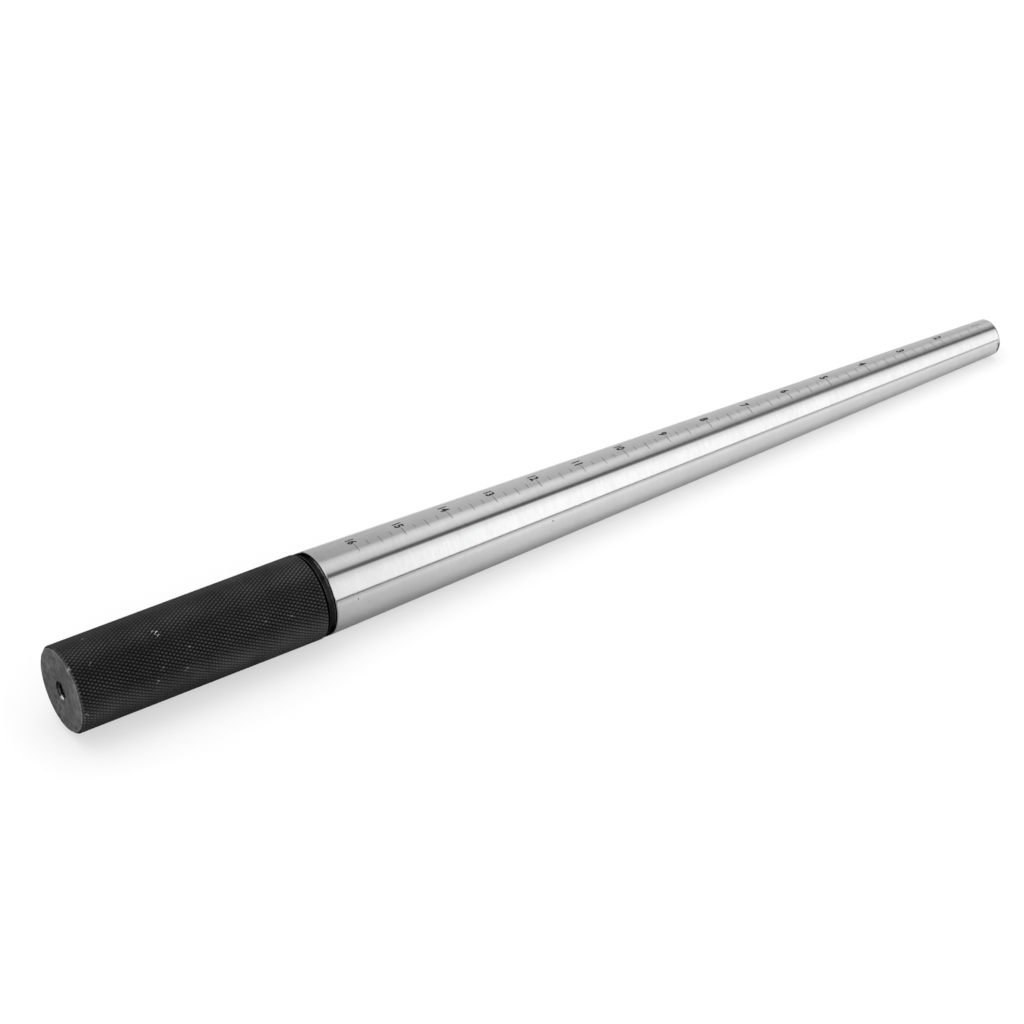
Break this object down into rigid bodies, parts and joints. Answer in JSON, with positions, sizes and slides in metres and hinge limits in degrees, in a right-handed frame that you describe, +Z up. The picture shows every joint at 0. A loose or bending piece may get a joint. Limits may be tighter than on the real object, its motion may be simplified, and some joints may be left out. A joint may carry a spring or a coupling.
{
  "type": "ring mandrel",
  "caption": "Tapered steel ring mandrel engraved with US ring sizes, on a black knurled steel handle with a smooth collar ring.",
  "frame": {"origin": "under the middle of the tool's length, on the plane that the lowest line of the handle touches", "axes": "+X runs along the tool's axis from the handle end to the thin tip, +Z is up, with the engraved scale on the upper front side"},
  "size_m": [0.337, 0.0256, 0.0257],
  "materials": {
    "ground_steel": "circumferentially ground and polished hardened steel",
    "black_collar": "smooth glossy blackened steel",
    "black_oxide": "satin black oxide over fine diamond knurl",
    "stud_steel": "plain machined steel, hidden inside"
  },
  "bodies": {
    "root": {"mandrel_barrel": "ground_steel", "collar_ring": "black_collar", "knurled_handle": "black_oxide", "joining_stud": "stud_steel"}
  },
  "joints": []
}
